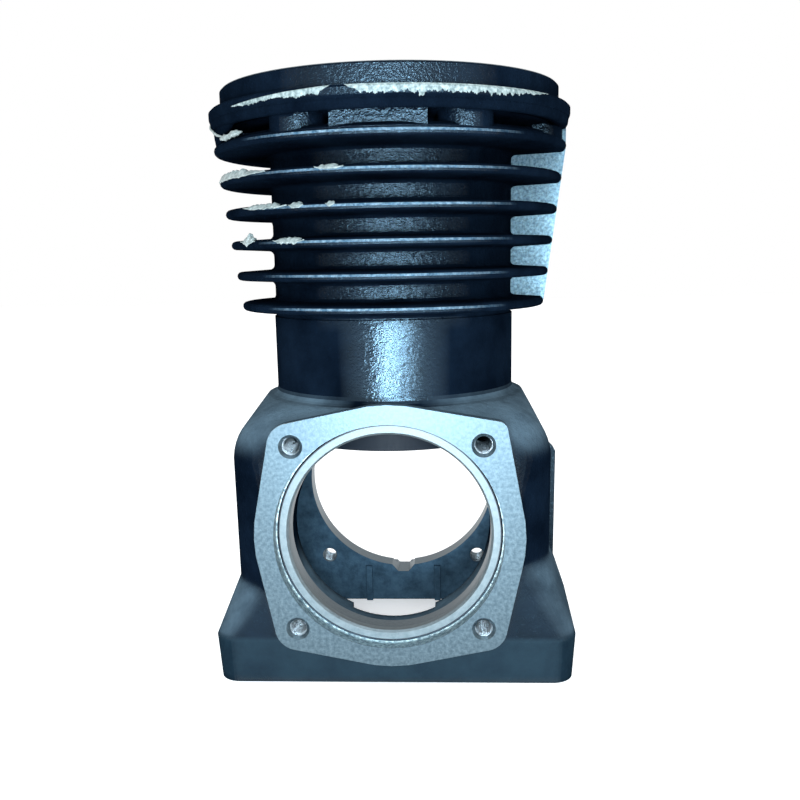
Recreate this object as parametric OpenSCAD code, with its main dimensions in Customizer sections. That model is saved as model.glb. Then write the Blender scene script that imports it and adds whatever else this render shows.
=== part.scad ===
// Bare body of a single-cylinder compressor pump: a finned barrel on an open crankcase.
// Millimetres. The cylinder axis is Z, the front flange faces -Y and Z = 0 is the foot.

/* [Cylinder] */
// Diameter that the piston runs in
bore_d = 80; // [72:0.5:84]
// Wall of the liner
liner_wall = 4; // [3:0.5:5]
// Collar at the liner's top, beyond its outside
liner_collar = 2.5; // [1.5:0.5:3]
// Height of the liner's collar
liner_collar_h = 4; // [3:0.5:6]
// How far the liner hangs below the crankcase's top face
skirt_drop = 18.5; // [16:0.5:24]
// Wall of the barrel round the liner, at the plain neck
neck_wall = 6; // [5:0.5:8]
// Plain neck, from the crankcase's top to the middle of the lowest fin
neck_l = 37; // [28:0.5:45]
// Radius where the neck flares out onto the crankcase
foot_fillet = 3.5; // [2:0.5:5]

/* [Fins] */
// Number of fins below the deck flange
fin_count = 6; // [4:1:8]
// Distance from fin to fin
fin_pitch = 12.2; // [11.5:0.1:15]
// Reach of the lowest fin beyond the neck
fin_reach_low = 13; // [10:0.5:16]
// Reach of the highest fin beyond the neck
fin_reach_top = 21.3; // [17:0.1:24]
// Thickness at a fin's rounded tip
fin_tip = 3.4; // [2.4:0.1:4]
// Thickness at a fin's root
fin_root = 4.8; // [4:0.1:5.6]
// Radius between a fin and the barrel
fin_fillet = 2; // [1:0.1:2.5]
// How much thinner the barrel is between the fins than at the neck
root_relief = 0.7; // [0:0.1:1.5]
// Thickness of the upright web that joins the fins on the right
web_t = 12; // [8:1:16]
// How far the web stands past the fins' tips
web_proud = 0.3; // [0.2:0.1:0.6]

/* [Deck] */
// Reach of the deck flange beyond the neck
deck_reach = 22.7; // [21:0.1:26]
// Thickness of the deck flange at its rim
deck_rim = 5.4; // [4.5:0.1:7]
// Thickness of the deck flange at the barrel
deck_root = 8; // [7:0.1:9]
// Reach of the raised deck beyond the neck
land_reach = 18; // [16:0.1:20]
// Height of the raised deck above its flange
land_h = 8; // [5:0.5:10]
// Number of head bolts
head_bolts = 6; // [4:1:8]
// Distance from the neck's surface out to the head bolts' axes
head_bolt_out = 10; // [9:0.5:11]
// Tapping drill of the head bolts
head_bolt_d = 6.8; // [5:0.1:8.5]
// Depth of the head bolts' holes
head_bolt_l = 20; // [15:1:22]
// Diameter of the boss round each head bolt
boss_d = 20; // [16:0.5:21]
// Width of the flat pad at the middle of the front
pad_w = 34; // [26:1:36]
// Reach of that pad's face beyond the neck
pad_reach = 16; // [12:0.5:18]

/* [Crankcase] */
// Height of the shaft's axis above the foot
shaft_h = 61.5; // [60:0.5:66]
// Height of the crankcase's top face
case_h = 111; // [111:0.5:118]
// Width over the side walls, where they meet the shoulders
case_w = 127.5; // [126:0.5:140]
// How much each side wall leans in from there down to the foot
wall_lean = 0.5; // [0:0.5:3]
// Front wall's face, ahead of the cylinder axis
case_front = 55; // [54:0.5:62]
// Rear wall's face, behind the cylinder axis
case_rear = 49; // [48:0.5:56]
// Radius of the upright corners and the shoulders
corner_r = 22; // [19:0.5:25]
// Height at which the side walls turn into the shoulders
shoulder_h = 88; // [80:0.5:89]
// Side wall
side_wall = 7; // [5:0.5:9]
// Front wall, at the boss round its bore
front_wall = 22; // [18:0.5:24]
// How much thinner that wall is between the oil trough's sides
trough_l = 5; // [3:0.5:7]
// Width of the oil trough, below the bore
trough_w = 34; // [28:0.5:40]
// Rear wall
rear_wall = 10; // [8:0.5:12]
// Top wall
top_wall = 9; // [7:0.5:11]
// Reach of the upright rib on the right wall
side_rib_reach = 5.5; // [4:0.5:8]
// How far that rib's top lies below the start of the shoulder
side_rib_drop = 5; // [2:0.5:8]

/* [End flanges] */
// How far each machined pad stands off its wall
pad_proud = 5; // [3:0.5:7]
// Diameter of the pad's round middle
pad_d = 103.5; // [100:0.5:106]
// How far the front pad's round middle is cast to the right
pad_shift = 0.5; // [0:0.1:1]
// How far the front pad's upper right lobe is drawn out, across and up
lobe_peak = 5; // [0:0.5:6]
// Radius of the pad's lobe round each bolt
lobe_r = 9; // [8:0.5:10]
// Distance from bolt to bolt, across and up
bolt_pitch = 72.5; // [71:0.5:75]
// Distance from bolt to bolt up the rear flange
rear_bolt_rise = 77; // [72:0.5:78]
// Tapping drill of the end flanges' bolts
end_bolt_d = 6.8; // [5:0.1:8]
// Width of the countersink at a bolt hole's mouth
countersink_d = 9.2; // [8.5:0.1:10]
// Diameter of the front register
register_d = 88.6; // [86:0.1:90]
// Depth of the front register, down to the seat ring
register_l = 6; // [4:0.5:8]
// Thickness of the seat ring
ring_t = 4; // [3:0.5:5]
// How much smaller the seat ring's pocket is than the register, all round
ring_step = 1; // [0.8:0.1:1.5]
// Bore of the seat ring and of the wall behind it
seat_d = 79; // [74:0.5:82]
// Diameter of the rear register
rear_register_d = 92; // [90:0.1:93]
// Depth of the rear register
rear_register_l = 5; // [4:0.5:6]
// Diameter of the lip in front of the rear register
rear_bore_d = 87.6; // [84:0.1:88]
// Width of the oil notch at its mouth
notch_w = 11; // [8:0.5:14]
// Width of the oil notch at its bottom
notch_floor = 5; // [3:0.5:6]
// Depth of the oil notch below the rear bore
notch_h = 3.2; // [2:0.2:5]
// Distance between the two ribs inside the rear wall
rib_pitch = 33.5; // [28:0.5:40]
// Width of each rib
rib_w = 3; // [2:0.5:5]
// How far each rib stands off the rear wall
rib_proud = 2; // [1:0.5:3]

/* [Foot] */
// How much narrower the foot is at its underside, all round
foot_draft = 1.2; // [0:0.1:2]
// Height of the foot's upright edge
foot_h = 18; // [17:0.5:24]
// Reach of the foot beyond the side walls
foot_reach = 8; // [6:0.5:10]
// How much further the foot reaches on the right
foot_right = 1.6; // [0:0.1:2]
// Radius of the foot's upright corners
foot_corner_r = 10; // [8:0.5:14]
// Height over which the foot slopes in to the left wall
flare_h = 22; // [18:0.5:26]
// How much higher that slope reaches on the right
flare_lift = 9; // [0:0.5:10]
// How far the slope bulges past a straight line, on the right
flare_bulge = 1.6; // [0:0.1:2.4]
// Rim of the foot, from its side to the sump opening
foot_rim = 17; // [15:0.5:20]
// Distance from foot bolt to foot bolt, across
foot_bolt_x = 129; // [126:0.5:131]
// Distance from foot bolt to foot bolt, front to back
foot_bolt_y = 76; // [60:1:80]
// Tapping drill of the foot bolts
foot_bolt_d = 6.8; // [5:0.1:8.5]
// Depth of the foot bolts' holes
foot_bolt_l = 16; // [12:0.5:18]

/* [Hidden] */

// Overrun of every cut, skin of the outlines that a hull joins, and rounding steps
cut = 1;
skin = 0.5;
round_fn = 48;
bore_fn = 128;
fillet_steps = 4;
tip_steps = 6;
edge_break = 0.8;

// Cylinder
bore_r = bore_d / 2;
liner_r = bore_r + liner_wall;
neck_r = liner_r + neck_wall;
spigot_r = liner_r + neck_wall / 2;
spigot_z = case_h - top_wall;
skirt_z = case_h - skirt_drop;
root_r = neck_r - root_relief;
first_fin_z = case_h + neck_l;
deck_mid_z = first_fin_z + fin_count * fin_pitch;
flange_top_z = deck_mid_z + deck_rim / 2;
deck_z = flange_top_z + land_h;
deck_r = neck_r + deck_reach;
land_r = neck_r + land_reach;
head_bolt_r = neck_r + head_bolt_out;
top_fin_z = deck_mid_z - fin_pitch;

// Crankcase
corner_x = case_w / 2 - corner_r;
corner_front_y = -case_front + corner_r;
corner_rear_y = case_rear - corner_r;
roof_r = neck_r + foot_fillet + edge_break;
pad_front_y = -case_front - pad_proud;
pad_rear_y = case_rear + pad_proud;
// How far the pads stand out past the body's swollen end walls, so that these stay below the roof
pad_step = shaft_h + pad_d / 2 - case_h + 2 * edge_break;
cavity_front_y = -case_front + front_wall;
cavity_rear_y = case_rear - rear_wall;
register_r = register_d / 2;
ring_y = pad_front_y + register_l;
ring_r = register_r - ring_step;
flare_z = foot_h + flare_h;
right_flare_z = flare_z + flare_lift;
foot_x = case_w / 2 + foot_reach;
sump_x = foot_x - foot_rim;

casting = "#1d232d";
bright = "#b9c4cc";
iron = "#6f7680";

function arc(at, r, from, to, steps) =
    [for (i = [0:steps]) let (a = from + (to - from) * i / steps) at + r * [cos(a), sin(a)]];

function fin_tip_r(i) = neck_r + fin_reach_low + (fin_reach_top - fin_reach_low) * i / (fin_count - 1);

// Outline of one fin, from the barrel below it, round its tip, to the barrel above it
function fin_outline(z, tip_r) = concat(
    arc([root_r + fin_fillet, z - fin_root / 2 - fin_fillet], fin_fillet, 180, 90, fillet_steps),
    arc([tip_r - fin_tip / 2, z], fin_tip / 2, -90, 90, tip_steps),
    arc([root_r + fin_fillet, z + fin_root / 2 + fin_fillet], fin_fillet, 270, 180, fillet_steps));

// Half section of the barrel, up its outside and back down its bore
function barrel_outline() = concat(
    [[liner_r, spigot_z], [spigot_r, spigot_z], [spigot_r, case_h], [neck_r + foot_fillet, case_h]],
    arc([neck_r + foot_fillet, case_h + foot_fillet], foot_fillet, 270, 180, fillet_steps),
    [[neck_r, first_fin_z - fin_root / 2 - fin_fillet]],
    [for (i = [0:fin_count - 1]) each fin_outline(first_fin_z + i * fin_pitch, fin_tip_r(i))],
    arc([root_r + fin_fillet, flange_top_z - deck_root - fin_fillet], fin_fillet, 180, 90, fillet_steps),
    arc([deck_r - deck_rim / 2, deck_mid_z], deck_rim / 2, -90, 0, tip_steps),
    [[deck_r, flange_top_z - edge_break], [deck_r - edge_break, flange_top_z], [land_r, flange_top_z]],
    [[land_r, deck_z - edge_break], [land_r - edge_break, deck_z]],
    [[liner_r + liner_collar, deck_z], [liner_r + liner_collar, deck_z - liner_collar_h]],
    [[liner_r, deck_z - liner_collar_h]]);

// A bar across the barrel's front or right, as wide as named, clear of the bore
module bar(from, to) {
    translate(from) cube(to - from);
}

// A cylinder that lies along Y, from its front end at y, l long
module along_y(r, x, y, z, l, fn = round_fn) {
    translate([x, y, z]) rotate([-90, 0, 0]) cylinder(r = r, h = l, $fn = fn);
}

module at_end_bolts(rise) {
    for (sx = [-1, 1], sz = [-1, 1])
        translate([sx * bolt_pitch / 2, 0, shaft_h + sz * rise / 2]) children();
}

module at_foot_bolts() {
    for (sx = [-1, 1], sy = [-1, 1]) translate([sx * foot_bolt_x / 2, sy * foot_bolt_y / 2, 0]) children();
}

module at_head_bolts() {
    for (i = [0:head_bolts - 1]) rotate(i * 360 / head_bolts) translate([head_bolt_r, 0, 0]) children();
}

// The two upright round corners on one side of a block, each from z = low to z = high
module side_corners(x, front_y, rear_y, r, low, high) {
    for (y = [front_y, rear_y]) translate([x, y, low]) cylinder(r = r, h = high - low, $fn = round_fn);
}

module corners(x, front_y, rear_y, r, low, high) {
    for (sx = [-1, 1]) side_corners(sx * x, front_y, rear_y, r, low, high);
}

// The round middle and the four lobes of an end flange, from its front face at y, l deep
module flange_discs(y, l, inset = 0, rise = bolt_pitch) {
    along_y(pad_d / 2 - inset, 0, y, shaft_h, l);
    for (sx = [-1, 1], sz = [-1, 1])
        along_y(lobe_r - inset, sx * bolt_pitch / 2, y, shaft_h + sz * rise / 2, l);
}

module front_flange() {
    lobe_shift = bolt_pitch / 2 + lobe_peak;
    hull() {
        flange_discs(pad_front_y, pad_proud);
        along_y(pad_d / 2, pad_shift, pad_front_y, shaft_h, pad_proud);
        along_y(lobe_r - lobe_peak, lobe_shift, pad_front_y, shaft_h + lobe_shift, pad_proud);
    }
}

module rear_flange() {
    hull() flange_discs(case_rear, pad_proud, 0, rear_bolt_rise);
}

// Smooth outer body: upright walls, round shoulders and the flat top that carries the barrel
module case_body() {
    hull() {
        corners(corner_x - wall_lean, corner_front_y, corner_rear_y, corner_r, foot_h, right_flare_z);
        for (sx = [-1, 1], y = [corner_front_y, corner_rear_y])
            translate([sx * corner_x, y, shoulder_h]) sphere(r = corner_r, $fn = round_fn);
        translate([0, 0, case_h - edge_break]) cylinder(r = roof_r, h = edge_break, $fn = round_fn);
        // The end walls swell by one skin towards the pads, one step further in
        flange_discs(-case_front - skin, skin, pad_step);
        flange_discs(case_rear, skin, pad_step);
    }
}

// The same form one wall further in, cut off square by the front and rear walls
module case_cavity() {
    intersection() {
        hull() {
            corners(corner_x - wall_lean, corner_front_y, corner_rear_y, corner_r - side_wall,
                foot_h, flare_z);
            for (sx = [-1, 1], y = [corner_front_y, corner_rear_y])
                translate([sx * corner_x, y, shoulder_h]) sphere(r = corner_r - side_wall, $fn = round_fn);
            translate([0, 0, spigot_z - skin]) cylinder(r = roof_r - side_wall, h = skin, $fn = round_fn);
        }
        bar([-case_w, cavity_front_y, 0], [case_w, cavity_rear_y, case_h]);
    }
}

// Foot with its drafted edge, and the slopes that lead in to the walls
module foot() {
    plan_x = foot_x - foot_corner_r;
    front_y = foot_corner_r - case_front;
    rear_y = case_rear - foot_corner_r;
    // The right slope's middle, pushed out past the line from the edge to the wall
    bulge_x = (foot_x + foot_right + corner_x + corner_r - wall_lean) / 2 + flare_bulge;
    bulge_z = (foot_h + right_flare_z) / 2;
    hull() {
        for (x = [-plan_x, plan_x + foot_right]) {
            side_corners(x, front_y, rear_y, foot_corner_r - foot_draft, 0, skin);
            side_corners(x, front_y, rear_y, foot_corner_r, foot_h - skin, foot_h);
        }
        side_corners(wall_lean - corner_x, corner_front_y, corner_rear_y, corner_r, foot_h, flare_z);
        side_corners(corner_x - wall_lean, corner_front_y, corner_rear_y, corner_r, foot_h,
            right_flare_z);
        side_corners(bulge_x - corner_r, corner_front_y, corner_rear_y, corner_r, bulge_z - skin, bulge_z);
    }
}

// Upright rib on the right wall, below the barrel's web, with a sloped top
module side_rib() {
    rib_x = case_w / 2 + side_rib_reach;
    rib_z = shoulder_h - side_rib_drop;
    translate([0, web_t, 0]) rotate([90, 0, 0]) linear_extrude(web_t)
        polygon([[corner_x, foot_h], [rib_x - wall_lean, foot_h], [rib_x, rib_z],
            [corner_x, rib_z + rib_x - corner_x]]);
}

// Opening in the foot for the sump, from the cavity down through the underside
module sump_opening() {
    bar([-sump_x, cavity_front_y, -cut], [sump_x, cavity_rear_y, flare_z]);
    // Oil trough in the front wall, from the bore down
    bar([-trough_w / 2, cavity_front_y - trough_l, -cut], [trough_w / 2, cavity_front_y + cut, shaft_h]);
}

// Trapezoid notch that lets oil run through the rear wall, below the rear bore
module oil_notch() {
    mouth_z = shaft_h - sqrt(pow(rear_bore_d / 2, 2) - pow(notch_w / 2, 2));
    floor_z = shaft_h - rear_bore_d / 2 - notch_h;
    translate([0, pad_rear_y + cut, 0]) rotate([90, 0, 0])
        linear_extrude(pad_rear_y - cavity_rear_y + 2 * cut)
            polygon([[-notch_w / 2, mouth_z], [-notch_floor / 2, floor_z], [notch_floor / 2, floor_z],
                [notch_w / 2, mouth_z], [0, shaft_h]]);
}

module rear_ribs() {
    for (sx = [-1, 1])
        bar([sx * rib_pitch / 2 - rib_w / 2, cavity_rear_y - rib_proud, 0],
            [sx * rib_pitch / 2 + rib_w / 2, cavity_rear_y + cut, shaft_h - rear_bore_d / 2]);
}

module end_bolt_holes() {
    // Front wall, and then the rear wall, with a countersink at each mouth
    sink = (countersink_d - end_bolt_d) / 2;
    at_end_bolts(bolt_pitch) {
        along_y(end_bolt_d / 2, 0, pad_front_y - cut, 0, pad_proud + front_wall + 2 * cut);
        translate([0, pad_front_y, 0]) rotate([-90, 0, 0])
            cylinder(r1 = countersink_d / 2, r2 = end_bolt_d / 2, h = sink, $fn = round_fn);
    }
    at_end_bolts(rear_bolt_rise) {
        along_y(end_bolt_d / 2, 0, cavity_rear_y - cut, 0, pad_proud + rear_wall + 2 * cut);
        translate([0, pad_rear_y, 0]) rotate([90, 0, 0])
            cylinder(r1 = countersink_d / 2, r2 = end_bolt_d / 2, h = sink, $fn = round_fn);
    }
}

module crankcase() {
    color(casting) difference() {
        union() {
            difference() {
                union() {
                    case_body();
                    foot();
                    side_rib();
                    front_flange();
                    rear_flange();
                }
                case_cavity();
                sump_opening();
            }
            rear_ribs();
        }
        // Register, the seat ring's pocket, and the smaller bore behind it
        along_y(register_r, 0, pad_front_y - cut, shaft_h, register_l + cut, bore_fn);
        along_y(ring_r, 0, pad_front_y, shaft_h, register_l + ring_t, bore_fn);
        along_y(seat_d / 2, 0, pad_front_y, shaft_h, pad_proud + front_wall + cut, bore_fn);
        // Lip and rear register
        along_y(rear_bore_d / 2, 0, cavity_rear_y - rib_proud - cut, shaft_h,
            rear_wall + pad_proud + rib_proud + 2 * cut, bore_fn);
        along_y(rear_register_d / 2, 0, pad_rear_y - rear_register_l, shaft_h,
            rear_register_l + cut, bore_fn);
        oil_notch();
        end_bolt_holes();
        at_foot_bolts() translate([0, 0, -cut])
            cylinder(d = foot_bolt_d, h = foot_bolt_l + cut, $fn = round_fn);
        // Seat of the barrel's spigot, and the way of the liner's skirt
        translate([0, 0, spigot_z]) cylinder(r = spigot_r, h = top_wall + cut, $fn = bore_fn);
        translate([0, 0, skirt_z]) cylinder(r = liner_r, h = case_h - skirt_z, $fn = bore_fn);
    }
}

// Bosses, front pad and side web that stand between the fins, outside the liner
module barrel_ribs() {
    at_head_bolts() translate([0, 0, top_fin_z])
        cylinder(d = boss_d, h = flange_top_z - top_fin_z, $fn = round_fn);
    bar([-pad_w / 2, -neck_r - pad_reach, top_fin_z], [pad_w / 2, 0, flange_top_z - deck_rim / 2]);
    // The web's outer edge leans out with the fins' tips
    low_r = fin_tip_r(0) + web_proud;
    high_r = fin_tip_r(fin_count - 1) + web_proud;
    translate([0, web_t, 0]) rotate([90, 0, 0]) linear_extrude(web_t)
        polygon([[0, first_fin_z], [low_r, first_fin_z], [high_r, top_fin_z], [high_r, deck_mid_z],
            [0, deck_mid_z]]);
}

module cylinder_barrel() {
    color(casting) difference() {
        union() {
            rotate_extrude($fn = bore_fn) polygon(barrel_outline());
            difference() {
                barrel_ribs();
                cylinder(r = liner_r + neck_wall / 2, h = deck_z, $fn = bore_fn);
            }
        }
        at_head_bolts() translate([0, 0, deck_z - head_bolt_l])
            cylinder(d = head_bolt_d, h = head_bolt_l + cut, $fn = round_fn);
    }
}

module cylinder_liner() {
    color(iron) rotate_extrude($fn = bore_fn) polygon([
        [bore_r + edge_break, skirt_z], [liner_r, skirt_z],
        [liner_r, deck_z - liner_collar_h], [liner_r + liner_collar, deck_z - liner_collar_h],
        [liner_r + liner_collar, deck_z], [bore_r, deck_z], [bore_r, skirt_z + edge_break]]);
}

module front_seat_ring() {
    color(bright) translate([0, ring_y, shaft_h]) rotate([-90, 0, 0]) rotate_extrude($fn = bore_fn) polygon([
        [seat_d / 2, edge_break], [seat_d / 2 + edge_break, 0], [ring_r, 0],
        [ring_r, ring_t], [seat_d / 2, ring_t]]);
}

crankcase();
cylinder_barrel();
cylinder_liner();
front_seat_ring();
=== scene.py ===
import math

import bpy
from mathutils import Matrix, Vector, noise


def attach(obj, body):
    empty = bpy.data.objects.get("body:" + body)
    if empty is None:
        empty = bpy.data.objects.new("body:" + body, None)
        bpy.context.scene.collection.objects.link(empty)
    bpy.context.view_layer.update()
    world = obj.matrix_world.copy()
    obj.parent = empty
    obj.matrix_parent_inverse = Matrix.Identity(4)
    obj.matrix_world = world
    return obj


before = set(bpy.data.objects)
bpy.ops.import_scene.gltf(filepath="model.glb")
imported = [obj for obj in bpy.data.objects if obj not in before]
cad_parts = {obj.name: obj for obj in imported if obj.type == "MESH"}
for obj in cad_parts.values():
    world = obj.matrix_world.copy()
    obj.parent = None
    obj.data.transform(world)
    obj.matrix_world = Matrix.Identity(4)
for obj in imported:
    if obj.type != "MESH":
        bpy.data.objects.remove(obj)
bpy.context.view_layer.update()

scene = bpy.context.scene
scene.view_settings.view_transform = "Standard"

# Sizes of the solids, in metres
SHAFT_Z = 0.0615
PAD_Y, REAR_Y = -0.060, 0.054
REGISTER_R, RING_R, SEAT_R, LIP_R, REAR_REGISTER_R = 0.0443, 0.0433, 0.0395, 0.0438, 0.046
LIP_FRONT_Y, LIP_REAR_Y = 0.039, 0.049
RING_Y = -0.054
BORED_TO_Y, CAVITY_Y = -0.043, -0.033
BOLT_X, BOLT_RISE, REAR_BOLT_RISE = 0.03625, 0.03625, 0.0385
HOLE_R = 0.0034
HEAD_BOLT_R, FOOT_BOLT_X, FOOT_BOLT_Y = 0.060, 0.0645, 0.038
DECK_Z, FLANGE_TOP_Z, FLANGE_R = 0.2319, 0.2239, 0.0727
CASE_TOP_Z = 0.111
FIN_Z0, FIN_PITCH, FIN_COUNT = 0.148, 0.0122, 6
FIN_R0, FIN_R1 = 0.063, 0.0713
BORE_R = 0.040

# Where the masks end: the neck, the cavity, the lip's notch, the web and the foot's edge
NECK_TOP_Z = FIN_Z0 - 0.006
CAVITY_X, CAVITY_CORNER_R, CAVITY_TOP_Z = 0.0575, 0.075, 0.097
NOTCH_X, NOTCH_DEEP = 0.0060, 0.0050
WEB_X = 0.0495
FOOT_EDGE_Z = 0.019

# How far a mask reaches past the face that it covers, and past a machined face with its broken edge
SNUG = 0.0001
FACE_SKIN = 0.0014


# Node helpers

class Graph:
    """One material's node tree, with short ways to add nodes."""

    def __init__(self, name):
        self.material = bpy.data.materials.new(name)
        self.material.use_nodes = True
        self.tree = self.material.node_tree
        self.shader = self.tree.nodes["Principled BSDF"]
        coordinates = self.tree.nodes.new("ShaderNodeTexCoord")
        self.place = coordinates.outputs["Object"]
        split = self.add("ShaderNodeSeparateXYZ", self.place)
        self.x, self.y, self.z = split.outputs
        geometry = self.tree.nodes.new("ShaderNodeNewGeometry")
        facing = self.add("ShaderNodeSeparateXYZ", geometry.outputs["Normal"])
        self.nx, self.ny, self.nz = facing.outputs
        self.soft = None

    def put(self, socket, value):
        if isinstance(value, bpy.types.NodeSocket):
            self.tree.links.new(value, socket)
        elif value is not None:
            socket.default_value = value

    def add(self, kind, *values, **settings):
        n = self.tree.nodes.new(kind)
        for key, value in settings.items():
            setattr(n, key, value)
        for socket, value in zip(n.inputs, values):
            self.put(socket, value)
        return n

    def math(self, operation, a, b=None, c=None):
        return self.add("ShaderNodeMath", a, b, c, operation=operation).outputs[0]

    def below(self, value, limit, soft=0.00004):
        """1 where value is under limit, 0 over it, with a soft edge."""
        return self.above(limit, value, soft)

    def above(self, value, limit, soft=0.00004):
        """1 where value is over limit, 0 under it, with a soft edge."""
        return self.ramp(self.math("SUBTRACT", value, limit), -soft, soft)

    def within(self, value, low, high, soft=0.00004):
        """1 where value is between low and high, 0 outside them, with soft edges."""
        return self.both(self.above(value, low, soft), self.below(value, high, soft))

    def ramp(self, value, low, high, at_low=0.0, at_high=1.0, smooth=False):
        n = self.add("ShaderNodeMapRange", value, low, high, at_low, at_high)
        n.interpolation_type = "SMOOTHSTEP" if smooth else "LINEAR"
        n.clamp = True
        return n.outputs[0]

    def both(self, *masks):
        out = masks[0]
        for m in masks[1:]:
            out = self.math("MULTIPLY", out, m)
        return out

    def either(self, *masks):
        out = masks[0]
        for m in masks[1:]:
            out = self.math("MAXIMUM", out, m)
        return out

    def size(self, value):
        """The value without its sign."""
        return self.math("ABSOLUTE", value)

    def radius(self, a, b):
        """How far the point (a, b) lies from (0, 0)."""
        return self.math("SQRT", self.math("ADD", self.math("POWER", self.size(a), 2.0),
                                           self.math("POWER", self.size(b), 2.0)))

    def noise(self, scale, detail=3.0, roughness=0.5, stretch=None, seed=0.0):
        place = self.place
        if stretch or seed:
            place = self.add("ShaderNodeMapping", place, (seed, seed * 0.7, seed * 1.3), (0, 0, 0),
                             stretch or (1, 1, 1)).outputs[0]
        n = self.tree.nodes.new("ShaderNodeTexNoise")
        self.tree.links.new(place, n.inputs["Vector"])
        n.inputs["Scale"].default_value = scale
        n.inputs["Detail"].default_value = detail
        n.inputs["Roughness"].default_value = roughness
        return n.outputs["Fac"]

    def blend(self, mask, a, b):
        """Colour a where mask is 0, b where it is 1."""
        n = self.tree.nodes.new("ShaderNodeMix")
        n.data_type = "RGBA"
        self.put(n.inputs[0], mask)
        self.put(n.inputs[6], a)
        self.put(n.inputs[7], b)
        return n.outputs[2]

    def mix(self, mask, a, b):
        n = self.tree.nodes.new("ShaderNodeMix")
        self.put(n.inputs[0], mask)
        self.put(n.inputs[2], a)
        self.put(n.inputs[3], b)
        return n.outputs[0]

    def soften(self, radius):
        """Use normals that run smoothly over edges and between facets, for the masks too."""
        n = self.tree.nodes.new("ShaderNodeBevel")
        n.samples = 6
        self.put(n.inputs["Radius"], radius)
        facing = self.add("ShaderNodeSeparateXYZ", n.outputs["Normal"])
        self.nx, self.ny, self.nz = facing.outputs
        self.soft = n.outputs["Normal"]

    def facing(self):
        """0 where the surface faces the eye, 1 at its edges."""
        n = self.tree.nodes.new("ShaderNodeLayerWeight")
        n.inputs["Blend"].default_value = 0.5
        return n.outputs["Facing"]

    def bump(self, height, distance, strength=1.0, under=None):
        n = self.tree.nodes.new("ShaderNodeBump")
        n.inputs["Strength"].default_value = strength
        self.put(n.inputs["Distance"], distance)
        self.put(n.inputs["Height"], height)
        self.put(n.inputs["Normal"], under)
        return n.outputs[0]

    def set(self, **values):
        for key, value in values.items():
            self.put(self.shader.inputs[key.replace("_", " ")], value)


def grey(r, g, b):
    return (r, g, b, 1.0)


PAINT = grey(0.0015, 0.0035, 0.0075)
PAINT_LIGHT = grey(0.004, 0.009, 0.018)
# Pale grey of dust on upward faces, partly a painted reflection of the sky
DUST_AND_SKY_SHEEN = grey(0.070, 0.108, 0.138)
INNER = grey(0.055, 0.110, 0.165)
INNER_DARK = grey(0.020, 0.045, 0.072)
BARE = grey(0.106, 0.146, 0.168)
# Painted reflection: brighter metal for the register's wall
REGISTER_SHEEN = grey(0.50, 0.58, 0.58)
BARE_DARK = grey(0.059, 0.087, 0.105)
CHIP = grey(0.40, 0.46, 0.45)
CHIP_DARK = grey(0.13, 0.17, 0.17)
# Painted sheen on the web's rough face, pale
WEB_SHEEN = grey(0.56, 0.86, 0.98)
WEB_SHEEN_DARK = grey(0.26, 0.46, 0.60)
# Painted highlight along the fins' rounded edges
EDGE_HIGHLIGHT = grey(0.21, 0.30, 0.37)
EDGE_HIGHLIGHT_DARK = grey(0.05, 0.11, 0.17)
IRON = grey(0.008, 0.012, 0.018)
HONED = grey(0.05, 0.065, 0.08)
# Painted light on the foot's lowest edge
FOOT_EDGE_LIGHT = grey(0.010, 0.022, 0.032)
TURNED_DARK = grey(0.14, 0.175, 0.19)
TURNED = grey(0.21, 0.25, 0.265)
THREAD_DARK = grey(0.30, 0.36, 0.40)
THREAD_LIGHT = grey(0.55, 0.62, 0.66)
PAINT_TINT = grey(0.50, 0.79, 1.0)
METAL_TINT = grey(1.0, 1.0, 1.0)

# Depths of the paint's orange peel and of tool marks. How strong the paint's gloss is face on,
# and how far from face on it ends
PEEL_DEEP, COARSE_DEEP = 0.00020, 0.00056
TOOL_DEEP = 0.00003
CASE_GLOSS, BARREL_GLOSS, GLOSS_END = 0.38, 0.52, 0.25
NECK_GLOSS, NECK_GLOSS_END = 0.80, 0.13
DUSTY_ROUGH, INNER_ROUGH, CHIP_ROUGH = 0.62, 0.55, 0.55


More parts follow.
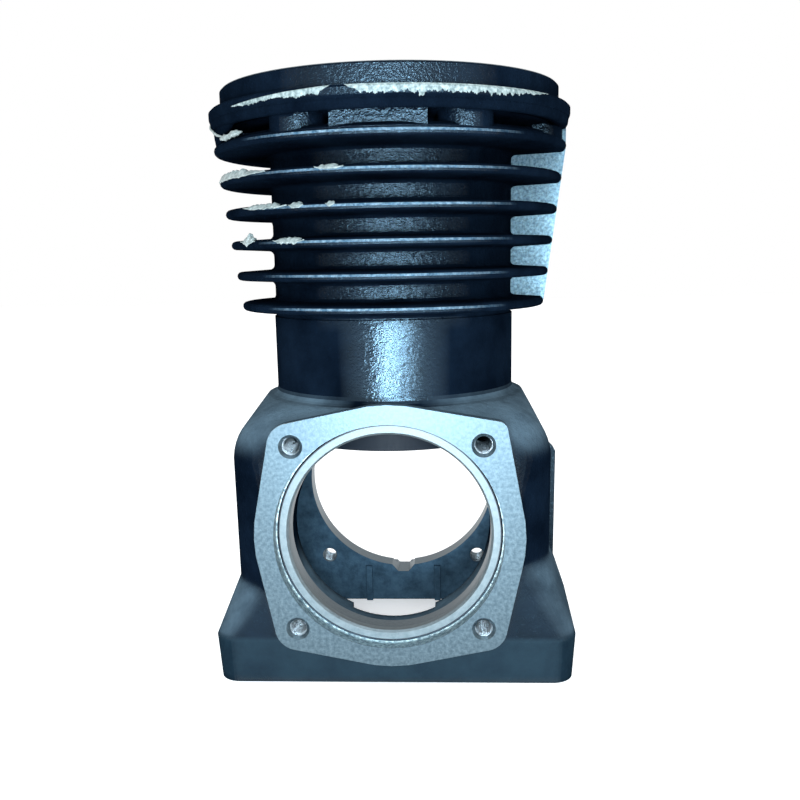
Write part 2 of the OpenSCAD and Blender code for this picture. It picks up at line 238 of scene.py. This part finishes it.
def painted(g, bare, coarse, extra=None, chip=None, edge_highlight=None, web_sheen=None, dull=None, lit_metal=None,
            shine=CASE_GLOSS, neck=None):
    """Gloss black paint over a sand casting, and bare metal where the mask bare is 1.

    The other masks are coarse for a rougher skin, chip for chipped metal, the fin-edge and web masks
    for a pale painted highlight and a pale painted sheen, dull for no gloss, lit_metal for metal made
    brighter as a painted reflection and neck for a stronger gloss that ends sooner. extra changes the
    paint's colour and roughness.
    """
    peel = g.noise(1600.0, 2.0, 0.45)
    lumps = g.noise(560.0, 3.0, 0.5, seed=3.1)
    tone = g.ramp(g.noise(42.0, 4.0, 0.6, seed=7.3), 0.35, 0.7)
    speck = g.ramp(g.noise(700.0, 2.0, 0.6, seed=1.7), 0.35, 0.75)
    paint = g.blend(tone, PAINT, PAINT_LIGHT)
    rough = g.ramp(g.noise(60.0, 3.0, 0.6, seed=5.0), 0.3, 0.7, 0.12, 0.20)
    if extra:
        paint, rough = extra(paint, rough)
    metal = g.blend(speck, BARE_DARK, BARE)
    # Painted reflection: brighter metal where lit_metal is 1
    if lit_metal:
        metal = g.blend(lit_metal, metal, g.blend(speck, BARE, REGISTER_SHEEN))
    height = g.math("ADD", g.math("MULTIPLY", peel, 0.55), g.math("MULTIPLY", lumps, 0.9))
    skin = g.bump(height, g.mix(coarse, PEEL_DEEP, COARSE_DEEP), 1.0, g.soft)
    tool = g.bump(speck, TOOL_DEEP, 0.5)
    if edge_highlight:
        # Painted highlight along the fins' edges and painted sheen on the web's face, both pale
        paint = g.blend(edge_highlight, paint, g.blend(speck, EDGE_HIGHLIGHT_DARK, EDGE_HIGHLIGHT))
        paint = g.blend(web_sheen, paint, g.blend(speck, WEB_SHEEN_DARK, WEB_SHEEN))
    gloss = g.ramp(g.facing(), 0.0, GLOSS_END, shine, 0.0)
    if neck:
        gloss = g.mix(neck, gloss, g.ramp(g.facing(), 0.0, NECK_GLOSS_END, NECK_GLOSS, 0.0))
    if dull:
        gloss = g.math("MULTIPLY", gloss, g.math("SUBTRACT", 1.0, dull))
    colour = g.blend(bare, paint, metal)
    if chip:
        colour = g.blend(chip, colour, g.blend(speck, CHIP_DARK, CHIP))
        rough = g.mix(chip, rough, CHIP_ROUGH)
    g.set(Base_Color=colour, Metallic=bare,
          Roughness=g.mix(bare, rough, g.ramp(speck, 0, 1, 0.36, 0.44)), Specular_IOR_Level=gloss,
          Specular_Tint=g.blend(bare, PAINT_TINT, METAL_TINT))
    n = g.tree.nodes.new("ShaderNodeMix")
    n.data_type = "VECTOR"
    g.put(n.inputs[0], bare)
    g.put(n.inputs[4], skin)
    g.put(n.inputs[5], tool)
    g.put(g.shader.inputs["Normal"], n.outputs[1])
    return g.material


def crankcase_material():
    g = Graph("crankcase_paint")
    # Smooth over the facets, and sharper inside, where the ribs are, and at the side rib
    smooth, sharp = 0.0055, 0.0006
    rear_inside = g.both(g.within(g.y, 0.020, 0.048), g.below(g.size(g.x), 0.056))
    side_rib = g.both(g.above(g.x, 0.050), g.within(g.y, -0.002, 0.0115), g.within(g.z, 0.022, 0.088))
    g.soften(g.mix(g.either(rear_inside, side_rib), smooth, sharp))
    from_shaft = g.radius(g.x, g.math("SUBTRACT", g.z, SHAFT_Z))
    across = g.math("SUBTRACT", g.size(g.x), BOLT_X)
    up = g.size(g.math("SUBTRACT", g.z, SHAFT_Z))
    front_hole = g.both(g.below(g.radius(across, g.math("SUBTRACT", up, BOLT_RISE)), HOLE_R + SNUG),
                        g.below(g.y, 0.0))
    rear_hole = g.both(g.below(g.radius(across, g.math("SUBTRACT", up, REAR_BOLT_RISE)), HOLE_R + SNUG),
                       g.above(g.y, 0.0))
    # Bare to just behind the seat ring's pocket
    pocket_end_y = RING_Y + 0.0045
    bare = g.either(
        g.below(g.y, PAD_Y + FACE_SKIN),
        g.above(g.y, REAR_Y - FACE_SKIN),
        g.below(g.z, SNUG),
        g.both(g.below(from_shaft, REGISTER_R + SNUG), g.below(g.y, pocket_end_y)),
        g.both(g.below(from_shaft, SEAT_R + SNUG), g.below(g.y, BORED_TO_Y)),
        g.both(g.below(from_shaft, LIP_R + SNUG), g.above(g.y, LIP_FRONT_Y + SNUG)),
        g.both(g.below(from_shaft, REAR_REGISTER_R + SNUG), g.above(g.y, LIP_REAR_Y - SNUG)),
        front_hole, rear_hole)

    def skin(paint, rough):
        # Dull skin on the shoulders and slopes, pale partly from dust and partly from a painted reflection of
        # the sky on upward faces, and a dull mottled grey inside
        patch = g.ramp(g.noise(55.0, 4.0, 0.65, seed=11.0), 0.3, 0.62)
        top = g.both(g.ramp(g.nz, 0.1, 0.55, smooth=True), g.ramp(patch, 0, 1, 0.45, 1.0))
        inside = g.both(g.below(g.size(g.x), CAVITY_X),
                        g.within(g.y, CAVITY_Y - 2 * SNUG, LIP_FRONT_Y + 2 * SNUG),
                        g.below(from_shaft, CAVITY_CORNER_R, 0.004), g.below(g.z, CAVITY_TOP_Z))
        paint = g.blend(top, paint, DUST_AND_SKY_SHEEN)
        # Painted light: the foot's lowest edge paler grey, in patches
        foot_edge_light = g.both(g.below(g.z, FOOT_EDGE_Z, 0.001), g.ramp(patch, 0, 1, 0.4, 1.0))
        paint = g.blend(foot_edge_light, paint, FOOT_EDGE_LIGHT)
        mottled = g.blend(g.ramp(g.noise(130.0, 4.0, 0.7, seed=4.0), 0.35, 0.65), INNER_DARK, INNER)
        paint = g.blend(inside, paint, mottled)
        rough = g.mix(top, rough, DUSTY_ROUGH)
        return paint, g.mix(inside, rough, INNER_ROUGH)

    # The notch is bare metal like the lip that it cuts, and its paleness is painted light for the light seen
    # through it
    lip_low_z = SHAFT_Z - LIP_R
    notch = g.both(g.below(g.size(g.x), NOTCH_X), g.within(g.z, lip_low_z - NOTCH_DEEP, lip_low_z + 0.0012),
                   g.above(g.y, LIP_FRONT_Y + 2 * SNUG))
    # Painted shadow in the corner round the seat ring: paint there instead of bare metal
    ring_corner_shadow = g.both(g.within(from_shaft, RING_R - 2 * SNUG, RING_R + 0.0005),
                    g.within(g.y, RING_Y - 2 * SNUG, RING_Y + 2 * SNUG))
    metal = g.math("MULTIPLY", g.either(bare, notch), g.math("SUBTRACT", 1.0, ring_corner_shadow))
    # Painted reflection: the register's wall is brighter metal
    register_wall = g.both(g.below(from_shaft, REGISTER_R + 2 * SNUG),
                           g.within(g.y, PAD_Y + 3 * SNUG, RING_Y + 2 * SNUG))
    # The skin is rougher on the upper front walls
    walls = g.both(g.above(g.z, 0.050, 0.010), g.below(g.y, -0.02, 0.01))
    return painted(g, metal, g.math("MULTIPLY", walls, 0.7), extra=skin, lit_metal=register_wall)


def barrel_material():
    g = Graph("barrel_paint")
    bare = g.above(g.z, DECK_Z - 3 * SNUG)
    from_axis = g.radius(g.x, g.y)
    # The angle round from the front, to the right
    turn = g.math("ARCTAN2", g.x, g.math("MULTIPLY", g.y, -1.0))
    at = math.radians

    # The chipped strip along the deck flange's upper edge: three stretches, each with its depth
    ragged = g.noise(520.0, 4.0, 0.62, stretch=(1.0, 1.0, 0.15), seed=2.3)
    depth = g.either(
        g.both(g.ramp(turn, at(-51), at(-40), 0.0, 0.0014), g.below(turn, at(-24), 0.03)),
        g.both(g.ramp(turn, at(-33), at(-24), 0.0, 0.0024), g.ramp(turn, at(-16), at(-12.5), 1.0, 0.0)),
        g.both(g.ramp(turn, at(-9), at(-4.5), 0.0, 0.0031), g.ramp(turn, at(38), at(60), 1.0, 0.0)))
    depth = g.math("MULTIPLY", depth, g.ramp(ragged, 0.25, 0.75, 0.55, 1.4))
    # Its lower edge has one drip, and its upper edge sinks towards the left
    drip = g.both(g.below(g.size(g.math("SUBTRACT", turn, at(12.1))), 0.013, 0.004),
                  g.above(turn, at(5.0)))
    depth = g.math("ADD", depth, g.math("MULTIPLY", drip, 0.0014))
    top = g.ramp(turn, at(-50), at(-9), FLANGE_TOP_Z - 0.0026, FLANGE_TOP_Z + 0.0003)
    chip = g.both(g.below(g.z, top), g.above(g.z, g.math("SUBTRACT", top, depth)),
                  g.above(from_axis, FLANGE_R - 0.0022), g.above(depth, 0.0003),
                  g.above(g.z, FLANGE_TOP_Z - 0.0075))

    # Painted sheen on the web's rough front face, paler low down, and a painted highlight along the upper front
    # edges of the fins
    grain = g.ramp(g.noise(900.0, 3.0, 0.65, seed=6.0), 0.36, 0.62)
    web_sheen = g.both(g.above(g.x, WEB_X), g.below(g.ny, -0.95, 0.03), g.below(g.size(g.y), 0.0012, 0.0006),
                 g.ramp(g.z, 0.222, 0.180, 0.25, 1.0), g.ramp(grain, 0, 1, 0.45, 1.0))
    rounded = g.both(g.above(g.nz, 0.14, 0.08), g.below(g.nz, 0.52, 0.10))
    edge = g.both(rounded, g.above(from_axis, 0.0615, 0.0004), g.below(g.z, FLANGE_TOP_Z - 0.0136),
                  g.ramp(g.size(turn), at(22), at(46), 1.0, 0.0), g.ramp(grain, 0, 1, 0.55, 1.0))
    # The deck flange is dull below its chipped strip
    dull = g.both(g.above(from_axis, FLANGE_R - 0.0040),
                  g.within(g.z, FLANGE_TOP_Z - 0.0085, FLANGE_TOP_Z - 0.0030, 0.0004))

    def skin(paint, rough):
        # The shoulders' pale grey, dust and a painted reflection of the sky on upward faces, runs up on to the
        # neck's foot, away from the front
        foot = g.both(g.ramp(g.nz, 0.06, 0.45, smooth=True), g.below(g.z, CASE_TOP_Z + 0.010, 0.003),
                      g.ramp(g.size(turn), at(14), at(34)))
        patch = g.ramp(g.noise(55.0, 4.0, 0.65, seed=11.0), 0.3, 0.62, 0.45, 1.0)
        foot = g.math("MULTIPLY", foot, patch)
        return g.blend(foot, paint, DUST_AND_SKY_SHEEN), g.mix(foot, rough, DUSTY_ROUGH)

    coarse = g.above(g.z, FIN_Z0 - 0.004, 0.002)
    return painted(g, bare, coarse, extra=skin, chip=chip, edge_highlight=edge, web_sheen=web_sheen, dull=dull,
                   shine=BARREL_GLOSS, neck=g.below(g.z, NECK_TOP_Z, 0.003))


def ring_material():
    g = Graph("turned_ring")
    lines = g.noise(2600.0, 2.0, 0.6, stretch=(0.02, 1.0, 0.02))
    tone = g.ramp(g.noise(420.0, 3.0, 0.6), 0.3, 0.7)
    # Painted shadow: dark paint colour along the ring's outer edge
    ring_edge_shadow = g.above(g.radius(g.x, g.math("SUBTRACT", g.z, SHAFT_Z)), RING_R - 0.0004)
    turned = g.blend(tone, TURNED_DARK, TURNED)
    g.set(Base_Color=g.blend(ring_edge_shadow, turned, PAINT_LIGHT), Metallic=g.math("SUBTRACT", 1.0, ring_edge_shadow),
          Roughness=g.ramp(tone, 0, 1, 0.46, 0.56), Normal=g.bump(lines, 0.00002, 0.6))
    return g.material


def liner_material():
    g = Graph("liner_iron")
    hone = g.noise(1500.0, 3.0, 0.6, stretch=(1.0, 1.0, 0.15))
    inside = g.below(g.radius(g.x, g.y), BORE_R + SNUG)
    g.set(Base_Color=g.blend(inside, IRON, HONED), Metallic=inside,
          Roughness=g.ramp(hone, 0.3, 0.7, 0.4, 0.55), Specular_IOR_Level=0.1,
          Normal=g.bump(hone, TOOL_DEEP, 0.6))
    return g.material


def thread_material():
    g = Graph("thread_metal")
    tone = g.ramp(g.noise(900.0, 2.0, 0.6), 0.3, 0.7)
    g.set(Base_Color=g.blend(tone, THREAD_DARK, THREAD_LIGHT), Metallic=1.0,
          Roughness=g.ramp(tone, 0, 1, 0.25, 0.4), Normal=g.bump(tone, 0.00002, 0.5))
    return g.material


def dress(node, material):
    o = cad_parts[node]
    o.data.materials.clear()
    o.data.materials.append(material)


dress("crankcase", crankcase_material())
dress("cylinder_barrel", barrel_material())
dress("cylinder_liner", liner_material())
dress("front_seat_ring", ring_material())


def piece(name, verts, faces, material, smooth=True):
    """A mesh of the scene alone, which rides on the row's one body."""
    mesh = bpy.data.meshes.new(name)
    mesh.from_pydata([tuple(v) for v in verts], [], faces)
    mesh.update()
    if smooth:
        mesh.polygons.foreach_set("use_smooth", [True] * len(mesh.polygons))
    o = bpy.data.objects.new(name, mesh)
    scene.collection.objects.link(o)
    mesh.materials.append(material)
    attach(o, "root")
    return o


# Threads in the tapped holes

THREAD_PITCH = 0.00125
THREAD_DEEP = 0.00032
THREAD_STEPS = 20
THREAD_HALF_FOOT, THREAD_HALF_CREST, THREAD_SINK = 0.00050, 0.00008, 0.00003
# How deep in its hole each thread starts, and how long it is
FRONT_START, FRONT_THREAD = 0.0016, 0.0235
REAR_START, REAR_THREAD = 0.0016, 0.0125
HEAD_START, HEAD_THREAD = 0.0008, 0.017
FOOT_START, FOOT_THREAD = 0.0008, 0.013
HEAD_BOLTS = 6
THREAD_METAL = thread_material()


def thread(name, mouth, inward, length):
    """Thread crests in one tapped hole: a helix of triangular section against the hole's wall."""
    inward = Vector(inward).normalized()
    side = inward.orthogonal().normalized()
    other = inward.cross(side)
    steps = THREAD_STEPS
    turns = length / THREAD_PITCH
    verts, faces = [], []
    total = int(turns * steps)
    wall = HOLE_R + THREAD_SINK
    for i in range(total + 1):
        a = 2 * math.pi * i / steps
        along = THREAD_PITCH * i / steps
        out = side * math.cos(a) + other * math.sin(a)
        fade = min(1.0, i / steps, (total - i) / steps)
        crest = HOLE_R - THREAD_DEEP * fade
        for r, d in ((wall, -THREAD_HALF_FOOT), (crest, -THREAD_HALF_CREST), (crest, THREAD_HALF_CREST),
                     (wall, THREAD_HALF_FOOT)):
            verts.append(Vector(mouth) + out * r + inward * (along + d))
    for i in range(total):
        for k in range(3):
            a, b = i * 4 + k, (i + 1) * 4 + k
            faces.append((a, b, b + 1, a + 1))
        faces.append((i * 4 + 3, (i + 1) * 4 + 3, (i + 1) * 4, i * 4))
    faces.append((0, 1, 2, 3))
    end = total * 4
    faces.append((end + 3, end + 2, end + 1, end))
    return piece(name, verts, faces, THREAD_METAL)


SIDES = ((-1, "left"), (1, "right"))
for sx, side in SIDES:
    for sz, level in ((-1, "low"), (1, "high")):
        thread(f"thread_front_{level}_{side}", (sx * BOLT_X, PAD_Y + FRONT_START, SHAFT_Z + sz * BOLT_RISE),
               (0, 1, 0), FRONT_THREAD)
        thread(f"thread_rear_{level}_{side}", (sx * BOLT_X, REAR_Y - REAR_START, SHAFT_Z + sz * REAR_BOLT_RISE),
               (0, -1, 0), REAR_THREAD)
for k in range(HEAD_BOLTS):
    a = 2 * math.pi * k / HEAD_BOLTS
    thread(f"thread_head_{k}", (HEAD_BOLT_R * math.cos(a), HEAD_BOLT_R * math.sin(a), DECK_Z - HEAD_START),
           (0, 0, -1), HEAD_THREAD)
for sx, side in SIDES:
    for sy, end in ((-1, "front"), (1, "rear")):
        thread(f"thread_foot_{end}_{side}", (sx * FOOT_BOLT_X, sy * FOOT_BOLT_Y, FOOT_START),
               (0, 0, 1), FOOT_THREAD)


# Cast details of the barrel. An angle is measured round from the front, to the right

def chip_material():
    g = Graph("chipped_metal")
    tone = g.ramp(g.noise(620.0, 3.0, 0.6), 0.3, 0.7)
    g.set(Base_Color=g.blend(tone, CHIP_DARK, CHIP), Metallic=0.2, Roughness=0.5,
          Normal=g.bump(g.noise(900.0, 3.0, 0.6), 0.0003, 1.0))
    return g.material


CHIP_METAL = chip_material()
CHIP_STEPS = 40
BARREL_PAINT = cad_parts["cylinder_barrel"].data.materials[0]


def around(degrees, r, z):
    a = math.radians(degrees)
    return Vector((r * math.sin(a), -r * math.cos(a), z))


def sweep(name, section, start, end, steps, material, closed=False, smooth=True):
    """A band round the barrel: section(degrees, share) gives its outline as (radius, height) pairs."""
    shares = [i / steps for i in range(steps if closed else steps + 1)]
    turns = [start + (end - start) * i / steps for i in range(len(shares))]
    rings = [section(turn, share) for turn, share in zip(turns, shares)]
    verts = []
    for turn, ring in zip(turns, rings):
        verts += [around(turn, r, z) for r, z in ring]
    n = len(rings[0])
    faces = []
    for i in range(steps):
        for k in range(n):
            a, b = i * n + k, ((i + 1) % len(rings)) * n + k
            c, d = ((i + 1) % len(rings)) * n + (k + 1) % n, i * n + (k + 1) % n
            faces.append((a, d, c, b))
    if not closed:
        faces.append(tuple(range(n)))
        faces.append(tuple((len(rings) - 1) * n + k for k in reversed(range(n))))
    return piece(name, verts, faces, material, smooth)


def wobble(x, seed):
    return noise.noise(Vector((x, seed, seed * 0.37)))


# The deck flange's lower lip, under its rim
LIP_DROP, LIP_INNER_R = 0.0023, 0.0650
RIM_LOW_Z = FLANGE_TOP_Z - 0.0054


def lip_section(degrees, share):
    low = RIM_LOW_Z - LIP_DROP
    inner = [(LIP_INNER_R, RIM_LOW_Z + 0.0004), (LIP_INNER_R, low + 0.0008)]
    rounded = [(0.0703, low), (0.0713, low + 0.0003), (0.0718, low + 0.0011), (0.0720, low + 0.0024)]
    return inner + rounded + [(0.0721, RIM_LOW_Z + 0.0016)]


sweep("deck_flange_lip", lip_section, 0, 360, 144, BARREL_PAINT, closed=True)

# The fillet between the top fin and the barrel, at the front
TOP_FIN_Z = FIN_Z0 + (FIN_COUNT - 1) * FIN_PITCH
FILLET_INNER_R, FILLET_REACH = 0.0640, 62


def fillet_section(degrees, share):
    top = TOP_FIN_Z + 0.0034
    return [(FILLET_INNER_R, TOP_FIN_Z), (0.0706, TOP_FIN_Z + 0.0014), (0.0680, TOP_FIN_Z + 0.0023),
            (0.0664, top), (FILLET_INNER_R, top)]


sweep("top_fin_fillet", fillet_section, -FILLET_REACH, FILLET_REACH, FILLET_REACH, BARREL_PAINT)


def fin_tip(index):
    """Radius and height of a fin's tip, counted down from the top one."""
    k = FIN_COUNT - 1 - index
    return FIN_R0 + (FIN_R1 - FIN_R0) * k / (FIN_COUNT - 1), FIN_Z0 + k * FIN_PITCH


def fin_chip(name, index, start, end, rise, drop, seed, peak=None):
    """Raised ragged metal along the upper edge of a fin's tip.

    It rises and drops that far from the middle of the fin, and is a spike if a peak is given,
    as a share of its length.
    """
    tip, z = fin_tip(index)
    least_up, least_down = 0.0012, 0.0010

    def section(degrees, share):
        fade = min(1.0, 4.0 * share, 4.0 * (1.0 - share))
        if peak is not None:
            fade *= max(0.0, 1.0 - abs(share - peak) * 2.0)
        n1, n2 = wobble(degrees * 0.9, seed), wobble(degrees * 1.3, seed + 5.0)
        up = least_up + (rise - least_up) * fade * (0.85 + 0.5 * n1)
        down = least_down - (drop + least_down) * fade * (0.9 + 0.5 * n2)
        out = 0.0001 + 0.00025 * fade
        lower = [(tip - 0.0030, z + 0.0008), (tip - 0.0004 + out, z + down),
                 (tip + out, z + max(down, 0.0) + 0.0004)]
        return lower + [(tip - 0.0007, z + up * 0.8), (tip - 0.0015, z + up), (tip - 0.0028, z + up * 0.9)]

    return sweep(name, section, start, end, CHIP_STEPS, CHIP_METAL, smooth=False)


fin_chip("chip_second_fin", 1, -92, -37, 0.0031, 0.0002, 1.0)
fin_chip("chip_second_fin_right", 1, -19, -10, 0.0022, -0.0003, 6.0)
fin_chip("chip_third_fin_left", 2, -52, -30, 0.0024, -0.0002, 2.0)
fin_chip("chip_third_fin_middle", 2, -29.5, -24, 0.0022, 0.0001, 3.0)
fin_chip("chip_third_fin_right", 2, -16.5, -13.5, 0.0021, -0.0001, 3.6)
fin_chip("chip_fourth_fin_left", 3, -59, -48, 0.0042, 0.0006, 4.0, peak=0.5)
fin_chip("chip_fourth_fin_right", 3, -38, -25, 0.0023, 0.0003, 5.0)


def bead(name, path, thick, seed):
    """A lumpy round bead of chipped metal along a path of (degrees, radius, height) points."""
    between, sides = 8, 8
    points = []
    for (d0, r0, z0), (d1, r1, z1) in zip(path, path[1:]):
        for i in range(between):
            t = i / between
            points.append(around(d0 + (d1 - d0) * t, r0 + (r1 - r0) * t, z0 + (z1 - z0) * t))
    points.append(around(*path[-1]))
    verts, faces = [], []
    for i, p in enumerate(points):
        ahead = (points[min(i + 1, len(points) - 1)] - points[max(i - 1, 0)]).normalized()
        across = ahead.cross(Vector((0, 0, 1))).normalized()
        over = across.cross(ahead)
        fade = min(1.0, 0.25 + i / 5, 0.25 + (len(points) - 1 - i) / 5)
        for k in range(sides):
            a = 2 * math.pi * k / sides
            r = thick * fade * (1.0 + 0.7 * wobble(i * 0.45 + k * 0.8, seed))
            verts.append(p + (across * math.cos(a) + over * math.sin(a)) * r)
    for i in range(len(points) - 1):
        for k in range(sides):
            a, b = i * sides + k, (i + 1) * sides + k
            c, d = (i + 1) * sides + (k + 1) % sides, i * sides + (k + 1) % sides
            faces.append((a, b, c, d))
    faces.append(tuple(reversed(range(sides))))
    faces.append(tuple((len(points) - 1) * sides + k for k in range(sides)))
    return piece(name, verts, faces, CHIP_METAL)


# Cast flash that closes the gap under the deck flange at the left end, with its chipped edge
FLASH_INNER_R = 0.0680


def flash_section(degrees, share):
    top, low = RIM_LOW_Z + 0.0010, TOP_FIN_Z + 0.0006
    reach = 0.0006 * wobble(degrees * 0.5, 9.0)
    fall = min(1.0, 3.0 * (1.0 - share))
    low = top - 0.0012 - (top - 0.0012 - low) * fall
    return [(FLASH_INNER_R, top), (FLASH_INNER_R, low), (0.0700 + reach, low),
            (0.0708 + reach, (top + low) / 2), (0.0713, top)]


FLASH_EDGE = ((-94, 0.0720, 0.2224), (-84, 0.0720, 0.2210), (-73, 0.0722, 0.2172), (-63, 0.0719, 0.2136),
              (-57, 0.0714, 0.2118))
FLASH_CURL = ((-61, 0.0712, 0.2115), (-56, 0.0711, 0.2118), (-51, 0.0709, 0.2121), (-46, 0.0706, 0.2124))
sweep("flange_flash", flash_section, -106, -50, 48, BARREL_PAINT)
bead("flange_flash_edge", FLASH_EDGE, 0.00045, 1.5)
bead("flange_flash_curl", FLASH_CURL, 0.00095, 4.5)


# Floor, light and camera

FLOOR_WIDTH, FLOOR_DROP = 6, 0.0002
FLOOR_GLOW = 0.42


def floor_material():
    """White paper: to the eye, and in reflections, its shadows are thin."""
    m = bpy.data.materials.new("floor")
    m.use_nodes = True
    t = m.node_tree
    t.nodes.remove(t.nodes["Principled BSDF"])
    out = t.nodes["Material Output"]
    matt = t.nodes.new("ShaderNodeBsdfDiffuse")
    matt.inputs["Color"].default_value = (1.0, 1.0, 1.0, 1)
    glow = t.nodes.new("ShaderNodeEmission")
    seen = t.nodes.new("ShaderNodeLightPath")
    dim = t.nodes.new("ShaderNodeMath")
    dim.operation = "MULTIPLY"
    dim.inputs[1].default_value = FLOOR_GLOW
    both = t.nodes.new("ShaderNodeAddShader")
    ray = seen.outputs["Is Camera Ray"]
    for other in ("Is Glossy Ray", "Is Transmission Ray"):
        most = t.nodes.new("ShaderNodeMath")
        most.operation = "MAXIMUM"
        t.links.new(ray, most.inputs[0])
        t.links.new(seen.outputs[other], most.inputs[1])
        ray = most.outputs[0]
    t.links.new(ray, dim.inputs[0])
    t.links.new(dim.outputs[0], glow.inputs["Strength"])
    t.links.new(matt.outputs[0], both.inputs[0])
    t.links.new(glow.outputs[0], both.inputs[1])
    t.links.new(both.outputs[0], out.inputs["Surface"])
    return m


bpy.ops.mesh.primitive_plane_add(size=1, location=(0, 0, -FLOOR_DROP))
floor = bpy.context.object
floor.name = "floor"
floor.scale = (FLOOR_WIDTH, FLOOR_WIDTH, 1)
floor.data.materials.append(floor_material())

world = bpy.data.worlds.new("studio")
scene.world = world
world.use_nodes = True
tree = world.node_tree
background = tree.nodes["Background"]
background.inputs["Strength"].default_value = 1.0
background.inputs["Color"].default_value = (1, 1, 1, 1)


BLUISH = (0.74, 0.89, 1.0)


def lamp(name, place, target, wide, tall, power):
    light = bpy.data.lights.new(name, "AREA")
    light.shape = "RECTANGLE"
    light.size = wide
    light.size_y = tall
    light.energy = power
    light.color = BLUISH
    o = bpy.data.objects.new(name, light)
    scene.collection.objects.link(o)
    o.location = place
    o.rotation_mode = "QUATERNION"
    o.rotation_quaternion = (Vector(target) - Vector(place)).to_track_quat("-Z", "Y")
    return o


lamp("key_low", (-0.03, -0.55, 0.055), (0, 0, 0.12), 0.07, 0.07, 2.1)
lamp("key_high", (0.0, -0.55, 0.27), (0, 0, 0.20), 0.07, 0.12, 1.3)
lamp("key_side", (0.11, -0.55, 0.15), (0.05, 0, 0.17), 0.06, 0.14, 1.4)
lamp("key_top", (0.0, -0.30, 0.62), (0, 0, 0.20), 0.70, 0.05, 1.2)

# The camera was fitted to the photograph's fins, bores and bolt holes
FOCAL_PIXELS, FRAME_PIXELS, CENTRE_Y_PIXELS = 939.1, 800.0, 450.0
PITCH, YAW, ROLL = (math.radians(v) for v in (11.77, 3.25, -1.10))
EYE = Vector((0.0245, -0.4025, 0.1678))
forward = Vector((-math.sin(YAW) * math.cos(PITCH), math.cos(YAW) * math.cos(PITCH), -math.sin(PITCH)))
level = Vector((math.cos(YAW), math.sin(YAW), 0))
upright = level.cross(forward)
right = math.cos(ROLL) * level + math.sin(ROLL) * upright
up = -math.sin(ROLL) * level + math.cos(ROLL) * upright
camera = bpy.data.cameras.new("camera")
camera.sensor_width = 36
camera.lens = FOCAL_PIXELS * camera.sensor_width / FRAME_PIXELS
camera.shift_y = (CENTRE_Y_PIXELS - FRAME_PIXELS / 2) / FRAME_PIXELS
camera.clip_start, camera.clip_end = 0.01, 50
eye = bpy.data.objects.new("camera", camera)
scene.collection.objects.link(eye)
eye.matrix_world = Matrix((
    (right.x, up.x, -forward.x, EYE.x), (right.y, up.y, -forward.y, EYE.y),
    (right.z, up.z, -forward.z, EYE.z), (0, 0, 0, 1)))
scene.camera = eye

bpy.context.view_layer.update()
